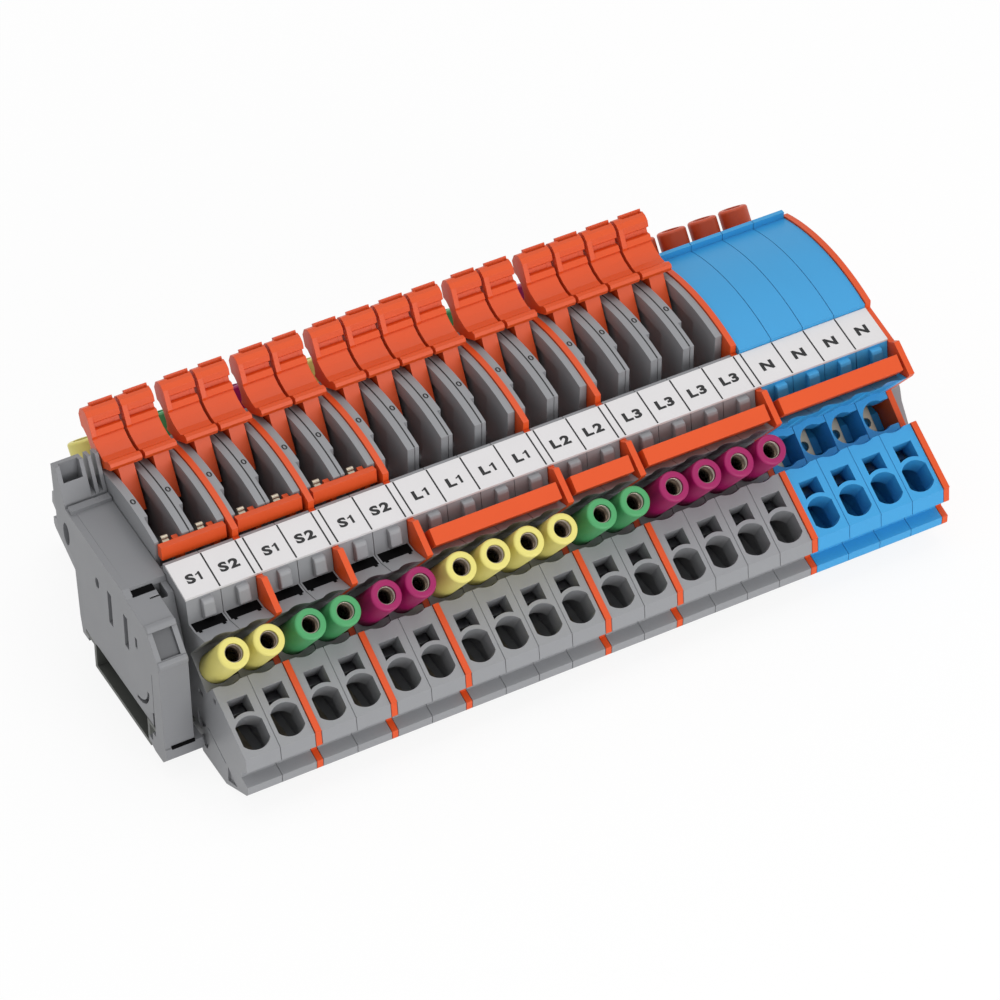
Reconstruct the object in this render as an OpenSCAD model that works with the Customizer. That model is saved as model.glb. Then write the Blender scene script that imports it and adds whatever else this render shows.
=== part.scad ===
// Test and disconnect terminal row on a hat rail: sixteen lever modules, four neutral modules,
// separator plates, test sockets, bridging bars, marker strip and two end stops.
// X runs along the rail, the marked side faces -Y, +Z is up; the rail underside is at z = 0.
// Profiles are drawn as [y, height above the rail's upper edge] and extruded along X.

/* [Row] */
// Pitch of one terminal module along the rail
module_w = 8; // [7.5:0.25:10]
// Thickness of a separator plate and of the end plate
plate_t = 1.5; // [1:0.25:2.5]
// Parting gap between neighbouring modules and plates
part_gap = 0.14; // [0.06:0.02:0.2]

/* [Rail] */
// Width over the two rail flanges
rail_w = 35; // [34:0.5:36]
// Height of the rail
rail_h = 7.5; // [7:0.5:12]
// Width of the rail's web
rail_web = 27; // [25:0.5:28]
// Sheet thickness of the rail
rail_t = 1; // [0.8:0.1:1.5]
// Distance of the rail's centre line in front of the row's centre
rail_shift = 5; // [2:0.5:6]
// Distance of the rail's end inside the end stop's outer face
rail_inset = 1.5; // [0.5:0.5:4]
// Clearance between the rail and what grips it
rail_fit = 0.1; // [0.05:0.05:0.2]

/* [Housing] */
// Length of a module from the front lip to the rear lip
housing_len = 94; // [90:1:100]
// Depth of the feet below the rail's upper edge
foot_drop = 6.9; // [6:0.1:7]
// Height of the lower edge of the sloping wire face
face_low_h = 8.8; // [8:0.2:9.6]
// Height of the ledge beside the bridging slots
ledge_h = 26.7; // [26:0.1:27.2]
// Height of the front edge of the marker seat
seat_h = 32.5; // [31.5:0.25:33.5]
// Depth of the marker seat, measured along Y
seat_depth = 9.3; // [8:0.1:9.6]
// Slope of the marker seat in degrees
seat_slope = 12; // [8:1:15]
// Height of the top of the domed back
dome_h = 38.9; // [38.5:0.1:39.2]
// Radius of the domed back
dome_r = 51.4; // [46:0.2:60]

/* [Wire entries] */
// Width of a wire funnel
funnel_w = 6.1; // [5:0.1:6.4]
// Length of a wire funnel along the slope
funnel_len = 7.4; // [6.4:0.1:7.6]
// Width of an operating slot
tool_slot_w = 4.6; // [3.5:0.1:5.5]
// Length of an operating slot along the slope
tool_slot_len = 3.4; // [2.5:0.1:3.6]
// Thickness of the arched bridge between funnel and slot
bridge_t = 0.9; // [0.7:0.1:1.2]

/* [Test sockets] */
// Tilt of the sockets away from the vertical in degrees
socket_tilt = 38; // [34:1:42]
// Outer diameter of a test socket
socket_d = 6.8; // [6:0.1:7]
// Bore of a test socket
socket_bore = 4; // [3.5:0.1:4.4]
// Length of a socket above its floor
socket_len = 15.4; // [12:0.2:18]
// How much higher the rear sockets stand than the front ones
rear_rise = 2.5; // [0:0.25:3]
// Depth of the well in which a socket stands
well_depth = 6; // [5:0.25:6.5]
// Radial clearance of a socket in its well
well_gap = 0.1; // [0.05:0.05:0.15]
// Half width of the socket channel
channel_half = 4.4; // [4.2:0.1:4.6]
// Radius of the scallops in the channel walls
scallop_r = 5; // [4.7:0.1:5.2]

/* [Levers] */
// Width of a lever's grip
grip_w = 7.3; // [6.4:0.1:7.4]
// Width of the lever stem
stem_w = 3.6; // [3:0.1:4]
// Side clearance of the stem in its slot
stem_gap = 0.4; // [0.3:0.05:0.6]
// Lean of a closed lever to the rear in degrees
lever_lean = 29.5; // [27:0.5:30]
// Height of the lever's pivot
pivot_h = 19.5; // [19:0.1:20]
// Diameter of the lever's pivot pins
pivot_d = 3.2; // [2.6:0.1:3.6]
// Radial clearance of the pivot pins
pivot_gap = 0.05; // [0.03:0.01:0.1]
// Radius from the pivot to the tips of the contact blade
blade_r = 8.9; // [8.4:0.1:9.1]
// Thickness of the contact blade
blade_t = 1.2; // [0.8:0.1:1.3]

/* [Metal parts] */
// Thickness of a current bar
bar_t = 1.2; // [0.8:0.1:1.4]
// Width of a current bar
bar_w = 3.4; // [3:0.1:3.8]
// Hole in the contact pad under a socket
pad_hole = 2.2; // [1.8:0.1:2.4]
// Radius of the clamp spring's loop
spring_r = 3.3; // [2.8:0.1:3.6]
// Thickness of the clamp spring's strip
spring_t = 0.5; // [0.4:0.05:0.6]
// Width of the clamp spring
spring_w = 4.4; // [3.6:0.1:5]

/* [Markers and bridges] */
// Thickness of the marker strip
marker_t = 0.6; // [0.4:0.1:0.8]
// Width of a bridging bar across its top
bridge_w = 3.7; // [3.2:0.1:4]
// Height of a bridging bar
bridge_h = 4.2; // [3.6:0.1:4.6]
// Height of a short-circuit bar
short_h = 3.2; // [2.8:0.1:3.6]
// Thickness of a short-circuit bar
short_t = 2; // [1.6:0.1:2.2]

/* [Plates] */
// Height by which a plate stands proud of the modules
plate_proud = 0.4; // [0.2:0.1:0.8]

/* [End stops] */
// Width of an end stop along the rail
stop_w = 10; // [8:0.5:12]
// Width of the low end stop at the right
low_stop_w = 5; // [4:0.5:8]
// Height of the low end stop above the rail
low_stop_h = 22; // [16:0.5:26]
// Height of the end stop's flat top
stop_top_h = 33.4; // [31:0.2:35]
// Height of the end stop's marker tower
tower_h = 42; // [38:0.5:45]

/* [Hidden] */
$fn = 96;

// Modules in each group, left to right, and the group that has no levers
GROUPS = [2, 2, 2, 4, 2, 4, 4];
NEUTRAL = 6;
GROUP_NAMES = ["s_pair_1", "s_pair_2", "s_pair_3", "l1", "l2", "l3", "n"];
YELLOW = [0, 3];
GREEN = [1, 4];
VIOLET = [2, 5];
LEVER_SPOTS = [for (g = [0 : NEUTRAL - 1]) for (i = [0 : GROUPS[g] - 1]) [g, i]];

// Colours
GREY = [0.59, 0.60, 0.61];
BLUE = [0.24, 0.60, 0.85];
ORANGE = [0.92, 0.38, 0.18];
RED_ORANGE = [0.75, 0.28, 0.14];
WHITE = [0.89, 0.89, 0.89];
ZINC = [0.30, 0.31, 0.30];
COPPER = [0.78, 0.74, 0.68];
STEEL = [0.70, 0.70, 0.72];
YELLOW_PLASTIC = [0.88, 0.84, 0.47];
GREEN_PLASTIC = [0.43, 0.74, 0.55];
VIOLET_PLASTIC = [0.64, 0.12, 0.47];

// Row layout
function modules_before(g) = g == 0 ? 0 : GROUPS[g - 1] + modules_before(g - 1);
row_modules = modules_before(len(GROUPS));
row_len = row_modules * module_w + len(GROUPS) * plate_t;
row_x = (stop_w - low_stop_w - row_len) / 2;
row_end = row_x + row_len;
function group_x(g) = row_x + modules_before(g) * module_w + g * plate_t;
function module_x(g, i) = group_x(g) + i * module_w;
function group_end(g) = group_x(g) + GROUPS[g] * module_w;
function two_digits(k) = str(k < 10 ? "0" : "", k);
mid = module_w / 2;
body_w = module_w - part_gap;

// Main stations of the profile
half = housing_len / 2;
flange = rail_w / 2;
groove_depth = 2.8;
band_low_h = face_low_h - 3.4;
floor_pt = [-(half - 21.25), 15.7];
axis_dir = [-sin(socket_tilt), cos(socket_tilt)];
across = [cos(socket_tilt), sin(socket_tilt)];
front_wall_h = 4.9;
ledge_rear = [-(half - 21.9), ledge_h];
ledge_slope = 17.0821;
channel_rear = floor_pt + channel_half * across;
rear_wall_h = (ledge_rear[1] - channel_rear[1] - tan(ledge_slope) * (channel_rear[0] - ledge_rear[0]))
    / (axis_dir[1] + tan(ledge_slope) * axis_dir[0]);
face_low = [-(half - 0.4), face_low_h];
face_top = floor_pt - channel_half * across + front_wall_h * axis_dir;
face_vec = face_top - face_low;
face_len = norm(face_vec);
face_angle = atan2(face_vec[1], face_vec[0]);
ledge_front = channel_rear + rear_wall_h * axis_dir;
wall_low = [-(half - 24.6), ledge_h];
wall_top = [-(half - 25.5), seat_h];
seat_rear = wall_top + [seat_depth, seat_depth * tan(seat_slope)];
trough_floor = seat_h - 2.5;
ledge_back = 1.2;
trough_w = 3.5;
dome_front = seat_rear[0] + ledge_back;
dome_rear = half - 24.6;
dome_pt = [(seat_rear[0] + dome_rear) / 2, dome_h - dome_r];
function dome_z(y) = dome_pt[1] + sqrt(pow(dome_r, 2) - pow(y - dome_pt[0], 2));
cheek_front = dome_front + trough_w;

rear_rim_h = 2;

// Lever stations
pivot = [dome_pt[0], pivot_h];
slot_w = stem_w + 2 * stem_gap;
left_cheek = 1.9;
thin_cheek = 1.0;
stem_x = left_cheek + stem_gap;
slot_right = left_cheek + slot_w;
slot_rear = pivot[0] + (dome_h - pivot_h) * tan(lever_lean) + 3.6 / cos(lever_lean) + stem_gap;
notch_y = -0.6;
cavity_r = 10;
hub_w = stem_w - blade_t;
pin_seat = 1;

// Clamp chambers and the passage to the contacts
chamber_wall = 1.4;
chamber_floor = 1.5;
chamber_rear = -(half - 24);
passage_low = 10.5;
passage_high = 14;
contact_y = pivot[0] - cavity_r - 1.5;
contact_gap = 0.2;
bar_x = 2;

// A profile extruded along X from x, with the rail's upper edge at height zero
module slab(x, w) {
    translate([x, 0, rail_h])
        rotate([90, 0, 90])
            linear_extrude(w)
                children();
}

// What is drawn for the front, and again for the rear
module both_sides() {
    children();
    mirror([0, 1, 0])
        children();
}

// Frame of a socket: origin on the channel floor, +Z out of the mouth
module at_socket(x) {
    translate([x, floor_pt[0], rail_h + floor_pt[1]])
        rotate([socket_tilt, 0, 0])
            children();
}

// Frame of the sloping wire face: +Y up the slope, +Z out of the face
module at_face(x) {
    translate([x, face_low[0], rail_h + face_low[1]])
        rotate([face_angle, 0, 0])
            children();
}

// Lower edge of a module: rail seat, hook, foot and lip; side is -1 at the front and 1 at the rear
function foot_points(side) =
    let (edge = -rail_shift + side * (flange + rail_fit), under = rail_t + rail_fit)
    [
        [-rail_shift + side * (flange - 5), 1.1],
        [-rail_shift + side * (flange - 5), 0],
        [edge, 0],
        [edge, -under],
        [edge - side * 1.2, -under],
        [edge - side * 1.2, -under - 0.9],
        [edge + side * 0.3, -under - 2.3],
        [edge + side * 3.2, -foot_drop],
        [side * (half - 10.4), -foot_drop],
        [side * (half - 0.6), -1.7],
        [side * half, -0.9],
        [side * half, 1],
        [side * (half - groove_depth), 1.8],
        [side * (half - groove_depth), band_low_h - 2],
        [side * half, band_low_h],
        [side * -face_low[0], face_low[1]]
    ];

// Upper edge of one side: wire face, socket channel, ledge and the wall behind the bridging slots
side_stations = [
    face_top,
    floor_pt - channel_half * across,
    channel_rear,
    ledge_front,
    ledge_rear,
    wall_low,
    wall_top
];

function side_points(side, skip = 0) = [
    for (i = [0 : len(side_stations) - 1 - skip]) [side * -side_stations[i][0], side_stations[i][1]]
];

function reversed(list) = [for (i = [len(list) - 1 : -1 : 0]) list[i]];

// Outline of a module, with the dome from the marker seat to the rear wall
module module_outline(dome_from) {
    polygon(concat(
        foot_points(-1),
        side_points(-1),
        [seat_rear, seat_rear + [ledge_back, 0], [dome_front, trough_floor], [dome_rear, trough_floor]],
        reversed(side_points(1, 1)),
        reversed(foot_points(1))
    ));
    dome_segment(dome_from, 0);
}

module dome_segment(y_from, proud) {
    intersection() {
        translate(dome_pt)
            circle(r = dome_r + proud);
        translate([y_from, trough_floor - 1])
            square([dome_rear - y_from, 2 * dome_h]);
    }
}

// Wire funnel and operating slot in the sloping face, drawn up the slope
module funnel_2d() {
    intersection() {
        translate([0, funnel_mid])
            circle(d = funnel_len);
        translate([-funnel_w / 2, 0])
            square([funnel_w, face_len]);
    }
}

funnel_mid = 1.2 + funnel_len / 2;
funnel_depth = 6;
funnel_wall = 0.7;
tool_slot_low = funnel_mid + funnel_len / 2 + bridge_t - 0.6;

module tool_slot_2d() {
    difference() {
        translate([-tool_slot_w / 2, tool_slot_low])
            square([tool_slot_w, tool_slot_len + 0.6]);
        translate([0, funnel_mid])
            circle(r = funnel_len / 2 + bridge_t);
    }
}

// Chamber for the clamp and passage for the current bar, open towards the next module
module chamber_2d() {
    polygon([
        [-(half - 5.5), chamber_floor],
        [-(half - 5.5), face_low_h - 0.5],
        [-(half - 9.5), face_low_h + 1.4],
        [chamber_rear, face_low_h + 1.4],
        [chamber_rear, chamber_floor]
    ]);
    translate([-(half - 20), chamber_floor])
        square([half - 20 + chamber_rear, passage_high - chamber_floor]);
    translate([chamber_rear - 1, passage_low])
        square([-chamber_rear + 1 + contact_reach, passage_high - passage_low]);
    polygon([
        on_axis(-pad_half - 0.4, pad_top + 0.2),
        on_axis(pad_half + 0.4, pad_top + 0.2),
        on_axis(pad_half + 0.4, pad_top - bar_t - 0.4),
        on_axis(-pad_half - 0.4, pad_top - bar_t - 0.4)
    ]);
}

contact_reach = contact_y + 2;

// Cuts that front and rear share: funnel, slot, channel scallop, socket seat, bridging slot, chamber
module side_cuts(x) {
    at_face(x + mid)
        translate([0, 0, -funnel_depth])
            linear_extrude(2 * funnel_depth) {
                funnel_2d();
                tool_slot_2d();
            }
    at_socket(x + mid) {
        cylinder(r = scallop_r, h = 2 * socket_len);
        translate([0, 0, -well_depth])
            cylinder(r = well_r, h = well_depth + 1);
        translate([0, -well_side, -well_depth])
            cube([module_w, 2 * well_side, well_depth + 1]);
    }
    slab(x + 1.1, body_w - 2.2)
        bridging_slot_2d();
    for (notch_x = [mid - 3.1, mid + 2.3])
        slab(x + notch_x, 0.8)
            translate([ledge_rear[0] - 0.8, ledge_h - 1.2])
                square([1.2, 4]);
    difference() {
        slab(x + chamber_wall, module_w)
            chamber_2d();
        at_face(x + mid)
            translate([0, 0, -funnel_depth])
                linear_extrude(funnel_depth)
                    intersection() {
                        translate([0, funnel_mid])
                            circle(d = funnel_len + 2 * funnel_wall);
                        translate([-mid, 0])
                            square([module_w - part_gap / 2, face_len]);
                    }
    }
}

// Sides of the well and the contact pad under it, as distances from the socket's axis and floor
well_r = socket_d / 2 + well_gap;
well_side = 2.9;
pad_top = -well_depth - 0.1;
pad_half = 3.5;

function on_axis(b, a) = floor_pt + b * across + a * axis_dir;

// Slot for the prongs of a bridging bar, parallel to the sockets
module bridging_slot_2d() {
    polygon([
        ledge_rear + [0.1, 3],
        ledge_rear + [0.1, 0],
        ledge_rear - 7 * axis_dir + [0.1, 0],
        wall_low - 7 * axis_dir + [-0.3, 0],
        wall_low + [-0.3, 0],
        wall_low + [-0.3, 3]
    ]);
}

// Guiding rib on the wall under the marker seat
module wall_rib(x) {
    slab(x + 3.3, 2.5)
        polygon([
            wall_low + [0.2, 0.6],
            wall_low + [-0.4, 0.6],
            wall_low + [-1.0, 1.6],
            wall_top + [-1.0, -0.9],
            wall_top + [0.2, -0.9]
        ]);
}

// Slot in which the lever swings, open at the top
module lever_slot_2d() {
    polygon([
        [cheek_front - 0.1, 2 * dome_h],
        [cheek_front - 0.1, 29],
        [pivot[0] - 6.5, pivot_h - 7],
        [pivot[0] + 6.5, pivot_h - 7],
        [slot_rear, 29],
        [slot_rear, 2 * dome_h]
    ]);
    translate(pivot)
        circle(r = cavity_r);
}

// Room for the contacts beside the blade, front and rear of the pivot
module contact_room_2d() {
    room_w = contact_reach - contact_y + 1.6;
    translate([contact_y - 1.6, passage_low])
        square([room_w + 1.6, pivot_h + 2 - passage_low]);
    translate([2 * pivot[0] - contact_y - room_w, passage_low])
        square([room_w + 1.6, pivot_h + 2 - passage_low]);
    translate([2 * pivot[0] - contact_y, passage_low])
        square([-chamber_rear - 2 * pivot[0] + contact_y + 1, passage_high - passage_low]);
}

module lever_cuts(x) {
    slab(x + left_cheek, slot_w)
        lever_slot_2d();
    slab(x + thin_cheek, slot_w)
        translate([cheek_front - 0.1, 28])
            square([notch_y - cheek_front + 0.1, dome_h]);
    slab(x + slot_right - 0.1, 0.7)
        translate([pivot[0] - 3.4, 24])
            square([slot_rear - pivot[0] + 2.4, 11]);
    slab(x + chamber_wall, slot_right - chamber_wall)
        contact_room_2d();
    translate([x + pin_end, pivot[0], rail_h + pivot_h])
        rotate([0, 90, 0])
            cylinder(d = pivot_d + 2 * pivot_gap, h = slot_right + pin_seat - pin_end + 0.1);
    slab(x - 0.1, module_w + 0.2)
        translate([dome_front, trough_floor])
            square([trough_w, dome_h]);
}

pin_end = left_cheek - pin_seat - 0.1;

// Shallow recesses in the closed left side
module side_recesses(x) {
    slab(x - 1, 1.5) {
        polygon([[-24.2, 4.8], [-28, 2.4], [-25.6, 0], [-24.2, 1]]);
        polygon([[-25.6, -2.2], [-28.5, 0.9], [-29.3, -1.5], [-28, -4.3], [-26.6, -4.4]]);
        polygon([[-37.8, -0.9], [-42, -3.2], [-37.6, -5]]);
        polygon([[-28.6, 2.6], [-36.9, -0.9], [-37, -0.6], [-28.7, 3]]);
        translate([-33.6, 13.2])
            square([1.3, 1.4]);
        translate([-27.2, 10])
            square([1.8, 1.4]);
    }
}

// One moulded housing
module housing(x, has_lever) {
    difference() {
        slab(x + part_gap / 2, body_w)
            module_outline(has_lever ? dome_front : seat_rear[0]);
        both_sides()
            side_cuts(x);
        if (has_lever)
            lever_cuts(x);
        side_recesses(x + part_gap / 2);
    }
    wall_rib(x);
    if (!has_lever)
        slab(x + part_gap / 2, body_w)
            translate([dome_rear - 1, trough_floor])
                square([1, dome_z(dome_rear) + rear_rim_h - trough_floor]);
}

module housing_group(g) {
    color(g == NEUTRAL ? BLUE : GREY)
        for (i = [0 : GROUPS[g] - 1])
            housing(module_x(g, i), g != NEUTRAL);
}

// Lever in the closed position, drawn in its module at x
function lean(p) = pivot + [p[0] * cos(lever_lean) + p[1] * sin(lever_lean),
    p[1] * cos(lever_lean) - p[0] * sin(lever_lean)];

// Points of the grip, as [rearward, outward] from the pivot along the lever
grip_points = [
    [-2.9, 22.4], [-3.7, 23.1], [-3.7, 23.9], [-2.7, 24.4], [-0.8, 24.1], [0.6, 24.9], [2.3, 26.6], [3.5, 28.5],
    [3.1, 28.8], [3.4, 30.1], [4.5, 30.4], [4.4, 31.4], [3.2, 31.8], [2.9, 33.2], [3.5, 34.4], [4.5, 35.1],
    [6.1, 35], [6.5, 34], [6, 30.6], [5.6, 26.6], [5, 23.4], [3.8, 22.4], [1.4, 22.4]
];
rib_points = [[5.4, 34.2], [5.4, 35.7], [6.4, 35.5], [6.5, 34]];
rib_slot_points = [[4.3, 34.3], [4.3, 36], [5.4, 36], [5.4, 34.3]];

module grip_2d() {
    polygon([for (p = grip_points) lean(p)]);
}

module stem_2d() {
    polygon([for (p = [[-2.4, 23], [-2.4, 4], [2.4, 4], [3.6, 23]]) lean(p)]);
    translate(pivot)
        circle(r = 4.6);
}

module lever(x) {
    grip_x = x + mid - grip_w / 2;
    difference() {
        union() {
            slab(grip_x, grip_w)
                grip_2d();
            slab(grip_x + grip_w * 0.28, grip_w * 0.72)
                polygon([for (p = rib_points) lean(p)]);
        }
        slab(grip_x + grip_w * 0.28, grip_w * 0.66)
            polygon([for (p = rib_slot_points) lean(p)]);
    }
    slab(x + stem_x, hub_w)
        stem_2d();
    slab(x + stem_x + hub_w - 0.1, blade_t + 0.1)
        polygon([for (p = [[-2.4, 23], [-2.4, 12], [2.9, 12], [3.6, 23]]) lean(p)]);
    translate([x + left_cheek - pin_seat, pivot[0], rail_h + pivot_h])
        rotate([0, 90, 0])
            cylinder(d = pivot_d, h = slot_w + 2 * pin_seat);
}

// Knife blade carried by the lever's pivot pin
module contact_blade(x) {
    slab(x + stem_x + hub_w, blade_t)
        difference() {
            union() {
                translate(pivot)
                    circle(r = 4);
                intersection() {
                    translate(pivot)
                        circle(r = blade_r);
                    translate(pivot - [blade_r, 1.7])
                        square([2 * blade_r, 3.4]);
                }
            }
            translate(pivot)
                circle(d = pivot_d + 2 * pivot_gap);
        }
}

// Current bar from the clamp over the contact pad to the switching contact, front side
module current_bar_2d(tip_y, tip_h) {
    riser = on_axis(-pad_half, pad_top)[0] - 0.6;
    level = on_axis(pad_half, pad_top)[1] - 0.6 - bar_t;
    translate([-(half - 6.5), chamber_floor])
        square([half - 6.5 + riser + bar_t, bar_t]);
    translate([riser, chamber_floor])
        square([bar_t, on_axis(-pad_half, pad_top)[1] - chamber_floor]);
    polygon([
        on_axis(-pad_half, pad_top),
        on_axis(pad_half, pad_top),
        on_axis(pad_half, pad_top - bar_t),
        on_axis(-pad_half, pad_top - bar_t)
    ]);
    translate([on_axis(pad_half, pad_top)[0] - 0.5, level])
        square([tip_y - on_axis(pad_half, pad_top)[0] + 0.5, bar_t]);
    translate([tip_y - bar_t, level])
        square([bar_t, tip_h - level]);
}

front_tip = pivot[0] - blade_r - contact_gap;
rear_tip = -(pivot[0] + blade_r + contact_gap);
neutral_tip = contact_reach - 0.2;

module current_bar(x, has_lever, rear) {
    tip_y = !has_lever ? neutral_tip : rear ? rear_tip : front_tip;
    tip_h = has_lever ? pivot_h + 1 : passage_high - 0.4;
    difference() {
        slab(x + bar_x, bar_w)
            current_bar_2d(tip_y, tip_h);
        at_socket(x + bar_x + bar_w / 2)
            translate([0, 0, pad_top - bar_t - 1])
                cylinder(d = pad_hole, h = bar_t + 2);
    }
}

// Clamp spring: a loop that stands on the current bar, with a leg towards the funnel
module clamp_spring_2d() {
    middle = [-(half - 17), chamber_floor + bar_t + spring_r + 0.05];
    difference() {
        translate(middle)
            circle(r = spring_r);
        translate(middle)
            circle(r = spring_r - spring_t);
        translate(middle - [2 * spring_r, 0.4])
            square([2 * spring_r, spring_r]);
    }
    translate(middle + [-spring_r - 1, spring_r - spring_t])
        square([spring_r + 1, spring_t]);
}

module clamp_spring(x) {
    slab(x + bar_x, spring_w)
        clamp_spring_2d();
}

module all_modules() {
    for (g = [0 : len(GROUPS) - 1])
        for (i = [0 : GROUPS[g] - 1]) {
            $has_lever = g != NEUTRAL;
            $x = module_x(g, i);
            children();
        }
}

module front_current_bars() {
    color(COPPER)
        all_modules()
            current_bar($x, $has_lever, false);
}

module rear_current_bars() {
    color(COPPER)
        mirror([0, 1, 0])
            all_modules()
                current_bar($x, $has_lever, true);
}

module front_clamp_springs() {
    color(STEEL)
        all_modules()
            clamp_spring($x);
}

module rear_clamp_springs() {
    color(STEEL)
        mirror([0, 1, 0])
            all_modules()
                clamp_spring($x);
}

// Test socket: a tube with a rounded mouth, closed at its lower end
module test_socket() {
    rim = 0.6;
    outer = socket_d / 2;
    rotate_extrude()
        difference() {
            union() {
                translate([0, -well_depth + 0.2])
                    square([outer, socket_len + well_depth - rim - 0.2]);
                translate([0, socket_len - 2 * rim])
                    square([outer - rim, 2 * rim]);
                translate([outer - rim, socket_len - rim])
                    circle(r = rim);
            }
            translate([-outer, -well_depth + 2])
                square([outer + socket_bore / 2, socket_len + well_depth]);
        }
}

module front_sockets(groups, rise = 0) {
    for (g = groups)
        for (i = [0 : GROUPS[g] - 1])
            at_socket(module_x(g, i) + mid)
                translate([0, 0, rise])
                    test_socket();
}

module rear_sockets(groups) {
    mirror([0, 1, 0])
        front_sockets(groups, rear_rise);
}

module yellow_test_sockets() {
    color(YELLOW_PLASTIC) {
        front_sockets(YELLOW);
        rear_sockets(YELLOW);
    }
}

module green_test_sockets() {
    color(GREEN_PLASTIC) {
        front_sockets(GREEN);
        rear_sockets(GREEN);
    }
}

module violet_test_sockets() {
    color(VIOLET_PLASTIC) {
        front_sockets(VIOLET);
        rear_sockets(VIOLET);
    }
}

module orange_test_sockets() {
    color(RED_ORANGE)
        rear_sockets([NEUTRAL]);
}

// Separator and end plates: the module's outline, a little proud of the dome and the wire faces,
// with a fin beside the bridging slots
plate_skin = plate_proud * [-sin(face_angle), cos(face_angle)];
plate_stations = [
    face_low + plate_skin,
    face_top + plate_skin,
    floor_pt - channel_half * across,
    floor_pt + channel_half * across,
    ledge_front,
    ledge_front + [-0.6, 1.2],
    wall_top + [-2.4, 1.2],
    wall_top + [-0.6, -0.1],
    wall_top
];

function plate_points(side, skip = 0) = [
    for (i = [0 : len(plate_stations) - 1 - skip]) [side * -plate_stations[i][0], plate_stations[i][1]]
];

module plate_2d() {
    polygon(concat(
        foot_points(-1),
        plate_points(-1),
        [seat_rear, seat_rear + [ledge_back, 0], [dome_front, trough_floor], [dome_rear, trough_floor]],
        reversed(plate_points(1, 2)),
        reversed(foot_points(1))
    ));
}

module plate(x, dome_from) {
    union() {
        slab(x + part_gap / 2, plate_t - part_gap)
            plate_2d();
        slab(x + part_gap / 2, plate_t - part_gap)
            dome_segment(dome_from, plate_proud);
    }
}

module separator_plates() {
    color(ORANGE)
        for (g = [0 : len(GROUPS) - 2])
            plate(group_end(g), dome_front);
}

module end_plate() {
    color(ORANGE)
        plate(group_end(len(GROUPS) - 1), seat_rear[0]);
}

// Marker strip on its sloping seat, over the whole row
module marker_strip() {
    lift = marker_t * [-sin(seat_slope), cos(seat_slope)];
    color(WHITE)
        slab(row_x, row_len - plate_t)
            polygon([wall_top, seat_rear, seat_rear + lift, wall_top + lift]);
}

// Bridging bar over the slots in front of the marker, with one prong per module
module bridging_bar(g) {
    bar_foot = (ledge_rear + wall_low) / 2 + [-0.6, 0.1];
    x_from = group_x(g) + 1;
    lift = 2.1;
    color(ORANGE) {
        slab(x_from, GROUPS[g] * module_w - 2)
            polygon([
                bar_foot - bridge_w / 2 * across + lift * axis_dir,
                bar_foot + bridge_w / 2 * across + lift * axis_dir,
                bar_foot + bridge_w / 2 * across + (lift + bridge_h) * axis_dir,
                bar_foot - bridge_w / 2 * across + (lift + bridge_h) * axis_dir
            ]);
        for (i = [0 : GROUPS[g] - 1])
            slab(module_x(g, i) + mid - 1.2, 2.4)
                polygon([
                    bar_foot + 0.1 * across - 4 * axis_dir,
                    bar_foot + 1.1 * across - 4 * axis_dir,
                    bar_foot + 1.1 * across + (lift + 0.5) * axis_dir,
                    bar_foot + 0.1 * across + (lift + 0.5) * axis_dir
                ]);
    }
}

// Short-circuit bar across a lever pair, in the trough behind the marker
short_y = dome_front + 1.2;
short_low = trough_floor + 4;

module short_circuit_bar(g) {
    slab(group_x(g) + 0.6, GROUPS[g] * module_w - 1.2)
        polygon([
            [short_y, short_low],
            [short_y + short_t, short_low],
            [short_y + short_t, short_low + short_h - 0.2],
            [short_y + 0.4, short_low + short_h]
        ]);
    for (i = [0 : GROUPS[g] - 1])
        slab(module_x(g, i) + 4.6, 1.3)
            polygon([
                [short_y + 0.3, trough_floor],
                [short_y + short_t, trough_floor],
                [short_y + short_t + 2.2, short_low + 0.6],
                [short_y + short_t + 2.2, short_low + 1.9],
                [short_y + short_t - 0.4, short_low + 1.9],
                [short_y + 0.3, short_low + 0.4]
            ]);
}

// Metal pins of the short-circuit bars, one in each lever slot
module short_circuit_pins() {
    color(COPPER)
        for (g = [0 : 2])
            for (i = [0 : GROUPS[g] - 1])
                slab(module_x(g, i) + 2.5, 1.5) {
                    polygon([
                        [short_y + short_t, short_low],
                        [short_y + short_t + 2, short_low - 1.6],
                        [short_y + short_t + 3.2, short_low - 1.6],
                        [short_y + short_t + 3.2, short_low + 1.6],
                        [short_y + short_t + 2, short_low + 1.6],
                        [short_y + short_t, short_low + 1.4]
                    ]);
                    translate([short_y + short_t + 2.6, short_low + 1.6])
                        circle(r = 0.6);
                }
}

module short_circuit_bars() {
    color(ORANGE)
        for (g = [0 : 2])
            short_circuit_bar(g);
}

// Hat rail
module rail_2d() {
    half_web = rail_web / 2;
    translate([-half_web, -rail_h])
        square([rail_web, rail_t]);
    for (side = [-1, 1]) {
        translate([side * (half_web - rail_t / 2) - rail_t / 2, -rail_h])
            square([rail_t, rail_h]);
        translate([side * (flange + half_web - rail_t) / 2 - (flange - half_web + rail_t) / 2, -rail_t])
            square([flange - half_web + rail_t, rail_t]);
    }
}

module din_rail() {
    rail_len = row_len + stop_w + low_stop_w - 2 * rail_inset;
    color(ZINC)
        slab(-rail_len / 2, rail_len)
            translate([-rail_shift, 0])
                rail_2d();
}

// End stop: side plate, body on the rail, front block with a spring arm and hooked foot, marker tower
stop_plate_t = 1.6;
stop_arm_w = stop_w * 0.67;
stop_foot_w = stop_w * 0.85;
front_flange = -rail_shift - flange - rail_fit;
rear_flange = -rail_shift + flange + rail_fit;
under = rail_t + rail_fit;

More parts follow.
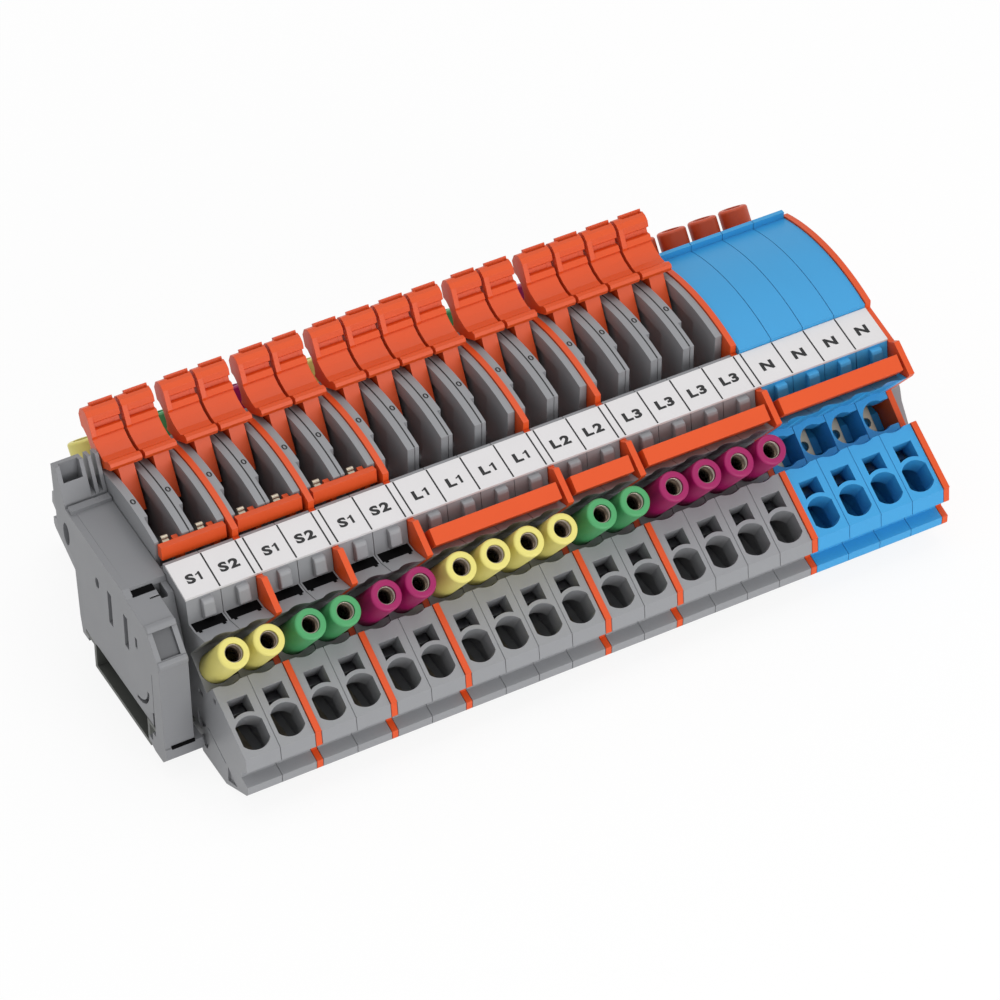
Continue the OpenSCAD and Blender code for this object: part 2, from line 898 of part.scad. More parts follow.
module stop_plate_2d() {
    difference() {
        polygon([
            [15.2, stop_top_h - 0.1], [20, stop_top_h - 2.4], [19.8, 24], [10.3, 20.3], [8.6, 4], [4.5, 3.4],
            [-5.3, 6.2], [-12.9, 5.1], [-20, 4.3], [-24.6, 8], [-24.6, 22], [-23.1, stop_top_h - 2.9],
            [-14.3, stop_top_h - 1.8], [-12.4, stop_top_h - 0.8]
        ]);
        translate([0.5, stop_top_h - 9.3])
            scale([0.65, 1])
                circle(d = 2.8);
        translate([-6.4, stop_top_h - 16.2])
            square([1.9, 9]);
        translate([-14, stop_top_h - 16.4])
            square([1.9, 9]);
        translate([-18.4, stop_top_h - 12.4])
            square([1, 2.8]);
        translate([15.2, stop_top_h - 7.4])
            scale([0.5, 1])
                circle(d = 6);
        difference() {
            translate([-16.6, 12])
                circle(r = 6.2);
            translate([-16.6, 12])
                circle(r = 5.3);
            translate([-40, 12])
                square([50, 20]);
            translate([-16.6, -2])
                square([20, 20]);
        }
    }
}

module stop_body_2d() {
    polygon([
        [front_flange + 2, 0], [rear_flange, 0], [rear_flange, -under], [rear_flange - 1.4, -under],
        [rear_flange - 1.4, -under - 1.2], [rear_flange + 1.6, -under - 1.2], [rear_flange + 2.4, 2],
        [rear_flange + 3.4, 20], [20.4, stop_top_h - 2.4], [15.2, stop_top_h], [-12.4, stop_top_h - 0.8],
        [-12.8, stop_top_h - 2.2], [-16, stop_top_h - 2.4], [-19.6, 20]
    ]);
}

module stop_arm_2d() {
    polygon([
        [-12.6, stop_top_h - 2.1], [-14.3, stop_top_h - 1.8], [-23.1, stop_top_h - 2.9], [-28.4, stop_top_h - 9.1],
        [-28.9, 3.9], [-29.2, 0.8], [-24.8, 0.8], [-24.8, 19], [-20.5, 24], [-16, 24]
    ]);
}

module stop_foot_2d() {
    polygon([
        [-29.4, 1.2], [front_flange - 0.6, 1.2], [front_flange - 0.6, -under - 0.1], [front_flange + 1.3, -under - 0.1],
        [front_flange + 1.3, -under - 1.3], [front_flange - 1.4, -3.6], [-27.8, -3.6], [-29.7, -1.4]
    ]);
}

module stop_tower_2d() {
    polygon([[14.6, stop_top_h - 1], [20.2, stop_top_h - 2.6], [20.8, tower_h - 0.6], [18.4, tower_h], [15, stop_top_h + 0.6]]);
}

module end_stop(x) {
    x_in = x + part_gap / 2;
    full_w = stop_w - part_gap;
    color(GREY)
        difference() {
            union() {
                slab(x_in, stop_plate_t)
                    stop_plate_2d();
                slab(x_in + stop_plate_t - 0.1, full_w - stop_plate_t + 0.1)
                    stop_body_2d();
                slab(x_in, stop_arm_w)
                    stop_arm_2d();
                slab(x_in, stop_foot_w)
                    stop_foot_2d();
                slab(x_in, full_w)
                    stop_tower_2d();
                slab(x_in + 0.4, full_w - 0.6)
                    translate([12.4, stop_top_h - 1])
                        square([1.8, 1.9]);
            }
            slab(x + 4.6, 4)
                translate([-16.2, stop_top_h - 6])
                    square([4, 4]);
            slab(x + 1.2, stop_arm_w - 2.3)
                polygon([[-22.6, stop_top_h - 3.6], [-24.2, stop_top_h - 2.4], [-28.6, stop_top_h - 7.6], [-27, stop_top_h - 8.8]]);
            slab(x + 1.1, 4.4)
                translate([16.9, stop_top_h + 2.6])
                    square([2.6, 12]);
            slab(x + 6.4, 1)
                translate([13, stop_top_h + 0.8])
                    square([9, 12]);
            slab(x + 8.2, 0.9)
                translate([13, stop_top_h + 0.8])
                    square([9, 12]);
            slab(x + stop_foot_w * 0.3, stop_foot_w * 0.4)
                translate([-28.2, -2])
                    square([3.4, 2.2]);
        }
}

// Low end stop at the right: one clip over both rail flanges
module low_stop_2d() {
    polygon([
        [front_flange, 0], [rear_flange, 0], [rear_flange, -under], [rear_flange - 1.4, -under],
        [rear_flange - 1.4, -under - 1.2], [rear_flange + 1.6, -under - 1.2], [rear_flange + 2.2, 4],
        [rear_flange - 1, low_stop_h - 2], [rear_flange - 3, low_stop_h], [-12, low_stop_h], [-16, low_stop_h - 4],
        [-18.6, low_stop_h - 8], [-19.6, low_stop_h - 11], [front_flange - 2.2, 4],
        [front_flange - 1.6, -under - 1.2], [front_flange + 1.4, -under - 1.2], [front_flange + 1.4, -under],
        [front_flange, -under]
    ]);
}

module low_end_stop(x) {
    color(GREY)
        difference() {
            slab(x + part_gap / 2, low_stop_w - part_gap)
                low_stop_2d();
            slab(x + low_stop_w - 1.2, 2)
                translate([-12, 6])
                    square([rear_flange + 8, low_stop_h - 10]);
            slab(x + 1.2, low_stop_w - 2.4)
                translate([-6, low_stop_h - 3])
                    square([rear_flange + 2, 4]);
        }
}

din_rail();
end_stop(row_x - stop_w);  // end_stop_left
low_end_stop(row_end);  // end_stop_right
for (g = [0 : len(GROUPS) - 1])
    housing_group(g);
for (k = [1 : len(LEVER_SPOTS)]) {
    x = module_x(LEVER_SPOTS[k - 1][0], LEVER_SPOTS[k - 1][1]);
    color(ORANGE) lever(x);
    color(STEEL) contact_blade(x);
}
separator_plates();
end_plate();
marker_strip();
short_circuit_bars();
short_circuit_pins();
for (g = [3 : NEUTRAL])
    bridging_bar(g);
yellow_test_sockets();
green_test_sockets();
violet_test_sockets();
orange_test_sockets();
front_current_bars();
rear_current_bars();
front_clamp_springs();
rear_clamp_springs();
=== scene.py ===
from math import asin, cos, pi, radians, sin

import bmesh
import bpy
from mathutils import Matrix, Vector


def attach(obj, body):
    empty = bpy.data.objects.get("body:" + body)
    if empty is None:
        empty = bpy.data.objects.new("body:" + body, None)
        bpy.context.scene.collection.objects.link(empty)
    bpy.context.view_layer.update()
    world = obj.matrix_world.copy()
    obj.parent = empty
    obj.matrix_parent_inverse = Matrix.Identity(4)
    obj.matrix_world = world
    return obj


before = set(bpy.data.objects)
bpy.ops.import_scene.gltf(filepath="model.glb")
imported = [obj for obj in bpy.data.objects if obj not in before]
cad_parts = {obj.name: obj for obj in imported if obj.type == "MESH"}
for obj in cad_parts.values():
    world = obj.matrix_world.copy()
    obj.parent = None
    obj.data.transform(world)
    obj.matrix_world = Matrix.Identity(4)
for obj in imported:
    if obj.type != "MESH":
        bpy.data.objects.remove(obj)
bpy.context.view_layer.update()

MM = 0.001

# Layout of the row, in millimetres: X along the rail, Y to the rear
PITCH, PLATE, RAIL_H, HALF = 8.0, 1.5, 7.5, 47.0
LEFT_STOP_W, RIGHT_STOP_W = 10.0, 5.0
GROUPS = [2, 2, 2, 4, 2, 4, 4]
LABELS = [["S1", "S2"]] * 3 + [["L1"] * 4, ["L2"] * 2, ["L3"] * 4, ["N"] * 4]
NEUTRAL = 6
OPEN_GROUPS = range(3)
ROW_LEN = sum(GROUPS) * PITCH + len(GROUPS) * PLATE
ROW_X = (LEFT_STOP_W - RIGHT_STOP_W - ROW_LEN) / 2
MODULES = [(g, i) for g in range(len(GROUPS)) for i in range(GROUPS[g])]
LEVER_MODULES = [(g, i) for g, i in MODULES if g != NEUTRAL]

# Section of a module, as (y, height above the rail)
WALL_FOOT = (-(HALF - 24.6), 26.7)
WALL_TOP = (-(HALF - 25.5), 32.5)
SEAT_SLOPE, SEAT_DEPTH = radians(12), 9.3
DOME_REAR = HALF - 24.6
DOME_Y, DOME_R = (WALL_TOP[0] + SEAT_DEPTH + DOME_REAR) / 2, 51.4
DOME_Z = RAIL_H + 38.9 - DOME_R
SOCKET_FLOOR = (-(HALF - 21.25), 15.7)
SOCKET_TILT = radians(38)
REAR_RISE = 2.5
PIVOT = (DOME_Y, 19.5)
LEVER_LEAN = radians(29.5)


def module_x(g, i):
    """Left side of module i in group g."""
    return ROW_X + (sum(GROUPS[:g]) + i) * PITCH + g * PLATE


# Materials
MOTTLE_SCALE, BRUSHED_SCALE, FINE_SCALE = 160.0, 900.0, 5200.0
MOTTLE_DETAIL, FINE_DETAIL = 4.0, 2.0
BRUSHED_STRETCH = (0.04, 1, 1)
FINE_DEPTH, FINE_STRENGTH = 0.03, 0.12
GLOSS_SPREAD = 0.06
EDGE_R, EDGE_SAMPLES = 0.12, 4
EDGE_STARTS, EDGE_FULL = 0.98, 0.75
# How much paler the painted highlight makes the edges
EDGE_PALER = 0.04


def linear(rgb):
    """Linear colour of an sRGB triple that runs to 255."""
    shares = [k / 255 for k in rgb]
    return [(v / 12.92 if v <= 0.04045 else ((v + 0.055) / 1.055) ** 2.4) for v in shares] + [1.0]


def noise(tree, place, scale, detail):
    node = tree.nodes.new("ShaderNodeTexNoise")
    node.inputs["Scale"].default_value = scale
    node.inputs["Detail"].default_value = detail
    tree.links.new(place.outputs["Vector"], node.inputs["Vector"])
    return node.outputs["Fac"]


def paler_edges(tree, plain, base, relief):
    """Rounds the edges in the shading, and paints a highlight along them: the colour is slightly paler
    there.
    """
    bevel = tree.nodes.new("ShaderNodeBevel")
    bevel.samples = EDGE_SAMPLES
    bevel.inputs["Radius"].default_value = EDGE_R * MM
    tree.links.new(bevel.outputs["Normal"], relief.inputs["Normal"])
    shape = tree.nodes.new("ShaderNodeNewGeometry")
    turn = tree.nodes.new("ShaderNodeVectorMath")
    turn.operation = "DOT_PRODUCT"
    tree.links.new(bevel.outputs["Normal"], turn.inputs[0])
    tree.links.new(shape.outputs["Normal"], turn.inputs[1])
    rim = tree.nodes.new("ShaderNodeMapRange")
    rim.inputs["From Min"].default_value = EDGE_STARTS
    rim.inputs["From Max"].default_value = EDGE_FULL
    tree.links.new(turn.outputs["Value"], rim.inputs["Value"])
    # Painted highlight: the colour turns slightly paler along the rounded edges
    edge_highlight = tree.nodes.new("ShaderNodeMix")
    edge_highlight.data_type = "RGBA"
    tree.links.new(rim.outputs["Result"], edge_highlight.inputs["Factor"])
    tree.links.new(plain, edge_highlight.inputs["A"])
    edge_highlight.inputs["B"].default_value = [v + (1 - v) * EDGE_PALER for v in base[:3]] + [1.0]
    return edge_highlight.outputs["Result"]


def material(name, rgb, rough=0.45, metal=0.0, grain=0.03, edges=True, spec=0.4, brushed=False):
    """Moulded plastic or metal: soft mottling, a fine surface grain, rounded edges with a painted highlight
    along them.
    """
    m = bpy.data.materials.new(name)
    m.use_nodes = True
    tree = m.node_tree
    shader = tree.nodes["Principled BSDF"]
    shader.inputs["Metallic"].default_value = metal
    shader.inputs["Specular IOR Level"].default_value = spec
    base = linear(rgb)
    if not grain:
        shader.inputs["Base Color"].default_value = base
        shader.inputs["Roughness"].default_value = rough
        return m
    coord = tree.nodes.new("ShaderNodeTexCoord")
    place = tree.nodes.new("ShaderNodeMapping")
    place.inputs["Scale"].default_value = BRUSHED_STRETCH if brushed else (1, 1, 1)
    tree.links.new(coord.outputs["Object"], place.inputs["Vector"])
    mottle = noise(tree, place, BRUSHED_SCALE if brushed else MOTTLE_SCALE, MOTTLE_DETAIL)
    mix = tree.nodes.new("ShaderNodeMix")
    mix.data_type = "RGBA"
    mix.inputs["A"].default_value = [v * (1 - grain) for v in base[:3]] + [1.0]
    mix.inputs["B"].default_value = [min(1.0, v * (1 + grain)) for v in base[:3]] + [1.0]
    tree.links.new(mottle, mix.inputs["Factor"])
    gloss = tree.nodes.new("ShaderNodeMapRange")
    gloss.inputs["To Min"].default_value = rough - GLOSS_SPREAD
    gloss.inputs["To Max"].default_value = rough + GLOSS_SPREAD
    tree.links.new(mottle, gloss.inputs["Value"])
    tree.links.new(gloss.outputs["Result"], shader.inputs["Roughness"])
    relief = tree.nodes.new("ShaderNodeBump")
    relief.inputs["Strength"].default_value = FINE_STRENGTH
    relief.inputs["Distance"].default_value = FINE_DEPTH * MM
    tree.links.new(noise(tree, place, FINE_SCALE, FINE_DETAIL), relief.inputs["Height"])
    tree.links.new(relief.outputs["Normal"], shader.inputs["Normal"])
    plain = mix.outputs["Result"]
    colour = paler_edges(tree, plain, base, relief) if edges else plain
    tree.links.new(colour, shader.inputs["Base Color"])
    return m


GREY = material("grey plastic", (140, 141, 144))
STOP_GREY = material("end stop grey plastic", (126, 127, 130))
BLUE = material("blue plastic", (54, 150, 206))
ORANGE = material("orange plastic", (212, 76, 22))
RED_ORANGE = material("red orange plastic", (196, 74, 38))
YELLOW = material("yellow plastic", (216, 206, 116))
GREEN = material("green plastic", (70, 150, 94))
VIOLET = material("violet plastic", (146, 10, 84))
WHITE = material("white plastic", (213, 211, 212), rough=0.5)
ZINC = material("plated steel", (96, 98, 94), rough=0.5, metal=0.4, brushed=True)
TIN = material("tinned copper", (178, 168, 150), rough=0.35, metal=0.7, brushed=True)
STEEL = material("spring steel", (180, 180, 184), rough=0.3, metal=0.9, brushed=True)
LINED = material("socket lining", (146, 136, 126), rough=0.25, metal=0.9, edges=False)
# Black for the print, also used for the painted shade along the dome joints
PRINT_AND_JOINT_SHADE = material("black print and joint shade", (22, 22, 24), rough=0.6, grain=0)
# Painted shade: a darker grey for the floor of the end stop's framed recess
RECESS_SHADE = material("recess floor painted shade", (86, 87, 90))
# Painted shade: near-black for the shade inside slots and gaps
GAP_SHADE = material("painted gap shade", (8, 8, 9), rough=0.8, grain=0, spec=0.05)

# Looks of the CAD pieces, by how their names start; the first match counts, and the rest are orange
LOOKS = [
    ("din_rail", ZINC),
    ("housings_n", BLUE),
    ("housings", GREY),
    ("end_stop", STOP_GREY),
    ("contact_blade", STEEL),
    ("front_clamp_springs", STEEL),
    ("rear_clamp_springs", STEEL),
    ("front_current_bars", TIN),
    ("rear_current_bars", TIN),
    ("short_circuit_pins", TIN),
    ("marker_strip", WHITE),
    ("orange_test_sockets", RED_ORANGE),
    ("yellow_test_sockets", YELLOW),
    ("green_test_sockets", GREEN),
    ("violet_test_sockets", VIOLET),
]
for name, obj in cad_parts.items():
    look = next((m for start, m in LOOKS if name.startswith(start)), ORANGE)
    obj.data.materials.clear()
    obj.data.materials.append(look)


# Helpers for added pieces
SHARP, ROUND_STEPS = radians(25), 2


class Pieces:
    """Vertices and faces that are gathered for one mesh, in millimetres."""

    def __init__(self):
        self.verts = []
        self.faces = []

    def add(self, verts, faces):
        base = len(self.verts)
        self.verts += verts
        self.faces += [tuple(k + base for k in f) for f in faces]

    def make(self, name, look, body="row"):
        me = bpy.data.meshes.new(name)
        me.from_pydata([Vector(v) * MM for v in self.verts], [], self.faces)
        me.materials.append(look)
        o = bpy.data.objects.new(name, me)
        bpy.context.scene.collection.objects.link(o)
        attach(o, body)
        return o


class Plane:
    """A flat frame: u along X, v up the slope, n outwards."""

    PROUD = 0.02

    def __init__(self, y, z, slope):
        self.o = Vector((0, y, z))
        self.v = Vector((0, cos(slope), sin(slope)))
        self.n = Vector((0, -sin(slope), cos(slope)))

    def at(self, u, v):
        """A point that lies just proud of the plane."""
        return self.o + Vector((u, 0, 0)) + v * self.v + self.PROUD * self.n


def prism(outline, x0, x1):
    """A prism drawn along X from an outline in (y, height above the rail)."""
    n = len(outline)
    verts = [(x, y, RAIL_H + h) for x in (x0, x1) for y, h in outline]
    faces = [tuple(range(n)), tuple(range(2 * n - 1, n - 1, -1))]
    faces += [(k, n + k, n + (k + 1) % n, (k + 1) % n) for k in range(n)]
    return verts, faces


def prisms_object(name, parts, look, body="row", round_r=0.0):
    """One piece from several prisms, with its sharp edges rounded where a radius is given."""
    pieces = Pieces()
    for verts, faces in parts:
        pieces.add(verts, faces)
    o = pieces.make(name, look, body)
    bm = bmesh.new()
    bm.from_mesh(o.data)
    bmesh.ops.recalc_face_normals(bm, faces=bm.faces)
    if round_r:
        sharp = [e for e in bm.edges if e.calc_face_angle(0) > SHARP]
        bmesh.ops.bevel(bm, geom=sharp, offset=round_r * MM, segments=ROUND_STEPS, profile=0.5,
                        affect="EDGES", clamp_overlap=True)
    bm.to_mesh(o.data)
    bm.free()


def moved(outline, start):
    """An outline that is given from a starting point."""
    return [(start[0] + y, start[1] + h) for y, h in outline]


def mirrored(outline):
    """The same outline on the other long side of the row."""
    return [(-y, h) for y, h in outline]


# Letters: the gap and the outline are shares of the capital height, and CAPITAL is its share of the font
LETTER_GAP = 0.17
CAPITAL = 0.70
LETTER_STEPS = 6
ONE = [(0.40, 0), (0.40, 1), (0.27, 1), (0.17, 0.87), (0, 0.79), (0, 0.64), (0.21, 0.73), (0.21, 0)]


def glyph(letter, height, bold):
    """Points and faces of one flat letter that starts at x = 0; the figure one has no foot."""
    if letter == "1":
        return [(x * height, y * height) for x, y in ONE], [tuple(range(len(ONE)))]
    cu = bpy.data.curves.new("letter", "FONT")
    cu.body = letter
    cu.size = height / CAPITAL
    cu.offset = bold * height
    cu.resolution_u = LETTER_STEPS
    o = bpy.data.objects.new("letter", cu)
    bpy.context.scene.collection.objects.link(o)
    bpy.context.view_layer.update()
    me = bpy.data.meshes.new_from_object(o.evaluated_get(bpy.context.evaluated_depsgraph_get()))
    left = min(v.co.x for v in me.vertices)
    points = [(v.co.x - left, v.co.y) for v in me.vertices]
    faces = [tuple(f.vertices) for f in me.polygons]
    bpy.data.objects.remove(o)
    bpy.data.meshes.remove(me)
    return points, faces


def text_mesh(words, height, bold, stretch):
    """Points and faces of a flat word, centred, with the given capital height."""
    word, x = Pieces(), 0.0
    for letter in words:
        points, faces = glyph(letter, height, bold)
        word.add([(x + px * stretch, py - height / 2) for px, py in points], faces)
        x = max(v[0] for v in word.verts) + LETTER_GAP * height
    middle = (x - LETTER_GAP * height) / 2
    return [(px - middle, py) for px, py in word.verts], word.faces


# Marker strip: module lines and designations
MARK_T = 0.6
MARK_LEN = SEAT_DEPTH / cos(SEAT_SLOPE)
MARK_LINE_W, LINE_FRONT, LINE_REAR = 0.36, 0.25, MARK_LEN - 0.1
GROUP_LINE_INSET = 0.1
LABEL_H, LABEL_BOLD, LABEL_STRETCH, LABEL_UP = 2.15, 0.07, 1.3, 4.4
marker = Plane(WALL_TOP[0] - MARK_T * sin(SEAT_SLOPE),
               RAIL_H + WALL_TOP[1] + MARK_T * cos(SEAT_SLOPE), SEAT_SLOPE)
marks = Pieces()


def add_marker_line(x):
    left, right = x - MARK_LINE_W / 2, x + MARK_LINE_W / 2
    corners = [(left, LINE_FRONT), (right, LINE_FRONT), (right, LINE_REAR), (left, LINE_REAR)]
    marks.add([marker.at(u, v) for u, v in corners], [(0, 1, 2, 3)])


for g, count in enumerate(GROUPS):
    for i in range(1, count):
        add_marker_line(module_x(g, i))
    if g > 0:
        add_marker_line(module_x(g, 0) + GROUP_LINE_INSET)
    if g < len(GROUPS) - 1:
        add_marker_line(module_x(g, count) - GROUP_LINE_INSET)
    for i in range(count):
        points, faces = text_mesh(LABELS[g][i], LABEL_H, LABEL_BOLD, LABEL_STRETCH)
        middle = module_x(g, i) + PITCH / 2
        marks.add([marker.at(middle + a, LABEL_UP + b) for a, b in points], faces)
marks.make("marker_print", PRINT_AND_JOINT_SHADE)

# Zero marks on the left cheek of every lever module, and dark lines over the domes that paint the shade in
# the joints between modules
ZERO_H, ZERO_BOLD, ZERO_STRETCH = 1.5, 0.035, 1.1
ZERO_X, ZERO_Y = 1.0, 4.4
JOINT_LINE_W, JOINT_LINE_STEPS = 0.32, 16
JOINT_LINE_FROM, JOINT_LINE_TO = -7.3, 22.2
cheek_marks = Pieces()


def crest(y):
    """The plane that touches the dome at y."""
    turn = asin((y - DOME_Y) / DOME_R)
    return Plane(DOME_Y + DOME_R * sin(turn), DOME_Z + DOME_R * cos(turn), -turn)


zero_points, zero_faces = text_mesh("0", ZERO_H, ZERO_BOLD, ZERO_STRETCH)
for g, i in LEVER_MODULES:
    middle = module_x(g, i) + ZERO_X
    cheek_marks.add([crest(ZERO_Y).at(middle + a, b) for a, b in zero_points], zero_faces)
# Painted shade: a dark strip along each joint between lever modules, over the dome
for g, i in LEVER_MODULES:
    if i == 0:
        continue
    arc = []
    for k in range(JOINT_LINE_STEPS + 1):
        here = crest(JOINT_LINE_FROM + (JOINT_LINE_TO - JOINT_LINE_FROM) * k / JOINT_LINE_STEPS)
        arc += [here.at(module_x(g, i) + side * JOINT_LINE_W / 2, 0) for side in (-1, 1)]
    cheek_marks.add(arc, [(2 * k, 2 * k + 1, 2 * k + 3, 2 * k + 2) for k in range(JOINT_LINE_STEPS)])
cheek_marks.make("cheek_print_and_joint_shade", PRINT_AND_JOINT_SHADE)

# Thin metal linings in the mouths of the test sockets; their section is in (radius, height)
LINING = [(1.98, 4.0), (1.98, 14.9), (1.76, 14.9), (1.76, 4.0)]
LINING_SIDES = 32
linings = Pieces()


def add_lining(x, side, rise):
    """One lining, with side 1 at the front and -1 at the rear."""
    out = Vector((0, -side * sin(SOCKET_TILT), cos(SOCKET_TILT)))
    across = Vector((0, side * cos(SOCKET_TILT), sin(SOCKET_TILT)))
    centre = Vector((x, side * SOCKET_FLOOR[0], RAIL_H + SOCKET_FLOOR[1]))
    verts, faces = [], []
    n = len(LINING)
    for k in range(LINING_SIDES):
        a = 2 * pi * k / LINING_SIDES
        spoke = cos(a) * Vector((1, 0, 0)) + sin(a) * across
        verts += [centre + (h + rise) * out + r * spoke for r, h in LINING]
        ring, after = k * n, (k + 1) % LINING_SIDES * n
        faces += [(ring + j, after + j, after + (j + 1) % n, ring + (j + 1) % n) for j in range(n)]
    linings.add(verts, faces)


for g, i in MODULES:
    if g != NEUTRAL:
        add_lining(module_x(g, i) + PITCH / 2, 1, 0)
    add_lining(module_x(g, i) + PITCH / 2, -1, REAR_RISE)
for p in linings.make("socket_linings", LINED).data.polygons:
    p.use_smooth = True

# Sides of the wire chambers that close each group's last module towards its plate
CHAMBER_SIDE = [(-41.4, 1.6), (-41.4, 8.2), (-37.5, 10.1), (-27.0, 10.1), (-25.0, 7.6), (-25.0, 1.6)]
CHAMBER_SIDE_FROM, CHAMBER_SIDE_TO = 7.5, 7.8
for g, count in enumerate(GROUPS):
    x = module_x(g, count - 1)
    sides = [prism(outline, x + CHAMBER_SIDE_FROM, x + CHAMBER_SIDE_TO)
             for outline in (CHAMBER_SIDE, mirrored(CHAMBER_SIDE))]
    prisms_object("chamber_sides_%d" % (g + 1), sides, BLUE if g == NEUTRAL else GREY)

# Closed joints between neighbouring modules, a little below the wire face
JOINT = [(-46.8, -0.8), (-46.8, 0.9), (-44.0, 1.75), (-44.0, 3.45), (-46.8, 5.5), (-46.4, 8.7),
         (-32.4, 16.6), (-32.4, 0)]
JOINT_T = 0.12
COLOURED = [("grey", GREY, range(NEUTRAL)), ("blue", BLUE, [NEUTRAL])]
for colour, look, groups in COLOURED:
    seams = [module_x(g, i) for g in groups for i in range(1, GROUPS[g])]
    fills = [prism(outline, x - JOINT_T / 2, x + JOINT_T / 2)
             for x in seams for outline in (JOINT, mirrored(JOINT))]
    prisms_object("joints_" + colour, fills, look)

# Guiding ribs on the wall under the marker
RIB = moved([(0.1, 0.7), (-0.7, 0.7), (-1.5, 1.9)], WALL_FOOT)
RIB += moved([(-1.7, -1.1), (-1.3, -0.4), (0.1, -0.4)], WALL_TOP)
RIB_X, RIB_W, RIB_ROUND = 3.2, 2.7, 0.25
for colour, look, groups in COLOURED:
    starts = [module_x(g, i) + RIB_X for g in groups for i in range(GROUPS[g])]
    prisms_object("wall_ribs_" + colour, [prism(RIB, x, x + RIB_W) for x in starts], look, round_r=RIB_ROUND)

# Painted shade: dark plates at the foot of the wall that stand for the shade inside the open bridging slots
THROAT_SHADE = moved([(-3.15, -0.3), (-3.15, -0.1), (-2.7, 0.04), (-0.05, 0.04), (-0.05, -0.3)], WALL_FOOT)
SLOT_WALL = 0.45
starts = [module_x(g, i) for g in OPEN_GROUPS for i in range(GROUPS[g])]
throat_shades = [prism(THROAT_SHADE, x + SLOT_WALL, x + PITCH - SLOT_WALL) for x in starts]
prisms_object("slot_throat_shades", throat_shades, GAP_SHADE)

# Left end stop: ridges over and under the framed panel, a darker plate on its floor that paints the shade of
# the recess, and dark blocks that paint the shade of the gaps at its lip and foot
STOP_X, STOP_TOP = -92.68, (0, 33.4)
ARM_W, RIDGE_INSET, RIDGE_ROUND = 6.7, 0.02, 0.2
HIGH_RIDGE = moved([(-22.2, -3.1), (-22.3, -2.45), (-23.4, -2.5), (-24.1, -3.3), (-23.8, -3.8)], STOP_TOP)
LOW_RIDGE = moved([(-27.6, -8.6), (-28.1, -8.2), (-28.85, -8.9), (-28.95, -9.9), (-28.3, -10.1)], STOP_TOP)
PANEL = moved([(-22.62, -3.62), (-27.0, -8.8), (-27.08, -8.73), (-22.7, -3.55)], STOP_TOP)
PANEL_FROM, PANEL_TO = 1.15, 5.5
# Dark block under the lip that paints the shade of a gap there
LIP_GAP_SHADE = moved([(-12.7, -2.3), (-12.75, -1.4), (-14.4, -1.72), (-14.4, -2.3)], STOP_TOP)
LIP_GAP_FROM, LIP_GAP_TO = 1.5, ARM_W - 0.1
# Dark strip at the foot that paints the shade of a trough
FOOT_GAP_SHADE = [(-29.0, 0.9), (-29.5, 0.9), (-29.42, 1.7), (-29.0, 1.7)]
FOOT_GAP_FROM, FOOT_GAP_TO = 1.4, ARM_W
ridges = [prism(outline, STOP_X + RIDGE_INSET, STOP_X + ARM_W) for outline in (HIGH_RIDGE, LOW_RIDGE)]
gap_shades = [prism(LIP_GAP_SHADE, STOP_X + LIP_GAP_FROM, STOP_X + LIP_GAP_TO),
        prism(FOOT_GAP_SHADE, STOP_X + FOOT_GAP_FROM, STOP_X + FOOT_GAP_TO)]
prisms_object("stop_ridges", ridges, STOP_GREY, round_r=RIDGE_ROUND)
# A thin darker plate on the panel's floor, painting the shade of the recess
prisms_object("stop_panel_shade", [prism(PANEL, STOP_X + PANEL_FROM, STOP_X + PANEL_TO)], RECESS_SHADE)
prisms_object("stop_gap_shades", gap_shades, GAP_SHADE)

# Sides of the lever grips, as (rearward, outward) from the pivot along the lever
GRIP_W, GRIP_SIDE = 7.3, 1.1
FILL_PROUD, SKIRT_INSET = 0.03, 0.02
FILL = [(3.4, 28.3), (3.04, 28.85), (2.96, 31.0), (2.88, 33.2), (3.48, 34.42), (4.45, 35.12),
        (5.3, 35.0), (5.3, 28.3)]
SKIRT = [(4.4, 34.6), (6.4, 34.9), (8.0, 33.6), (8.5, 30.5), (8.4, 27.0), (7.8, 24.6),
         (5.4, 23.2), (4.4, 24.0)]
NOTCHED_SKIRT = [(4.4, 34.6), (6.4, 34.9), (8.0, 33.6), (8.4, 30.8), (7.4, 30.2), (6.4, 28.6), (6.1, 26.4),
                 (6.5, 24.9), (7.3, 24.3), (5.4, 23.2), (4.4, 24.0)]


def leaning(outline):
    """The outline of a closed lever's piece in (y, height above the rail)."""
    along, back = (sin(LEVER_LEAN), cos(LEVER_LEAN)), (cos(LEVER_LEAN), -sin(LEVER_LEAN))
    return moved([(a * back[0] + b * along[0], a * back[1] + b * along[1]) for a, b in outline], PIVOT)


for k, (g, i) in enumerate(LEVER_MODULES, 1):
    left = module_x(g, i) + (PITCH - GRIP_W) / 2
    right = left + GRIP_W
    sides = [prism(leaning(FILL), left - FILL_PROUD, left + GRIP_SIDE),
             prism(leaning(NOTCHED_SKIRT), left + SKIRT_INSET, left + GRIP_SIDE),
             prism(leaning(SKIRT), right - GRIP_SIDE, right - SKIRT_INSET)]
    prisms_object("grip_sides_%02d" % k, sides, ORANGE, "lever_body_%02d" % k)

# World: white behind the object, soft light round it
WHITE_LIGHT = (1, 1, 1, 1)
SEEN_STRENGTH, SOFT_STRENGTH = 1.0, 0.72


def seen_directly(tree):
    """1 on the rays of the camera, of reflections and through clear pieces, and 0 on the others."""
    path = tree.nodes.new("ShaderNodeLightPath")
    seen = path.outputs["Is Camera Ray"]
    for ray in ("Is Glossy Ray", "Is Transmission Ray"):
        larger = tree.nodes.new("ShaderNodeMath")
        larger.operation = "MAXIMUM"
        tree.links.new(seen, larger.inputs[0])
        tree.links.new(path.outputs[ray], larger.inputs[1])
        seen = larger.outputs["Value"]
    return seen


